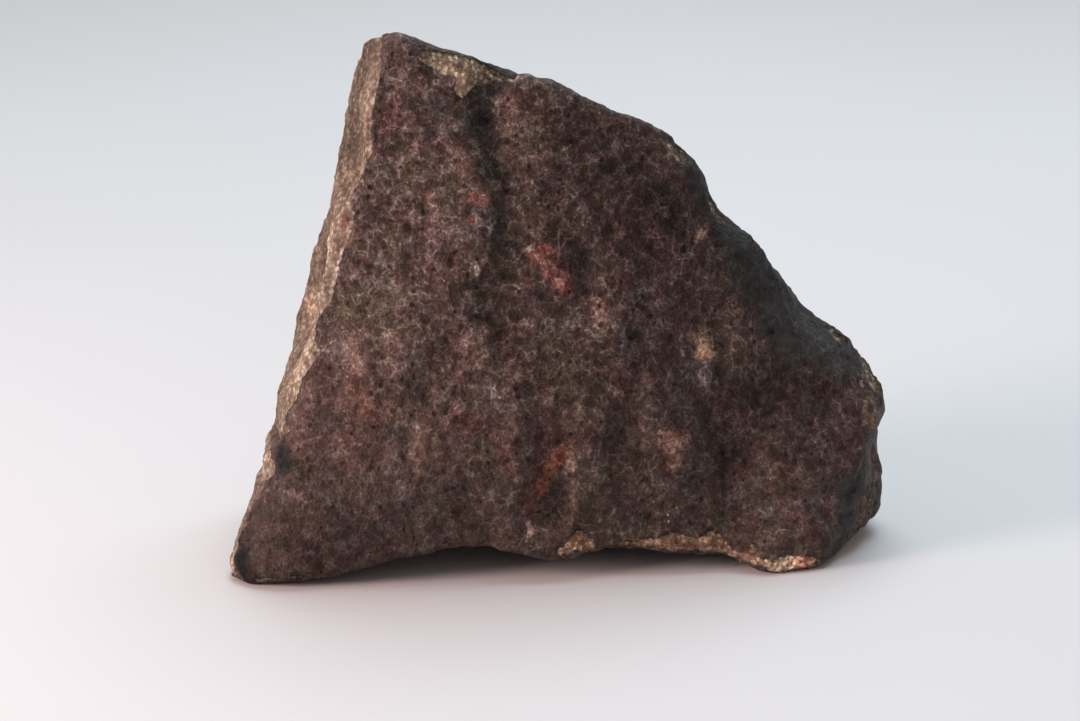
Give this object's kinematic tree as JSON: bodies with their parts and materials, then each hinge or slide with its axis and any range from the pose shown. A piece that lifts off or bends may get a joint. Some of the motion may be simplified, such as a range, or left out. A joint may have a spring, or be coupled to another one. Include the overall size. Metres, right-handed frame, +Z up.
{
  "type": "chondrite meteorite",
  "caption": "Solid stony meteorite, a leaning wedge with a dark crazed fusion crust, thumbprint hollows and a flat broken face, standing on small flat feet.",
  "frame": {"origin": "middle of the bounding box's underside, on the surface that the stone stands on", "axes": "+Z up, -Y out of the broad crusted front face, +X along the stone's length, away from the broken face"},
  "size_m": [0.1106, 0.0582, 0.0888],
  "materials": {
    "fusion_crust": "dark purplish-brown melted crust with a fine net of pale cracks, satin in places, dull in others",
    "broken_stone": "dull tan to grey granular stone, with rust specks and small round grains"
  },
  "bodies": {
    "root": {"meteorite": "fusion_crust"}
  },
  "joints": []
}
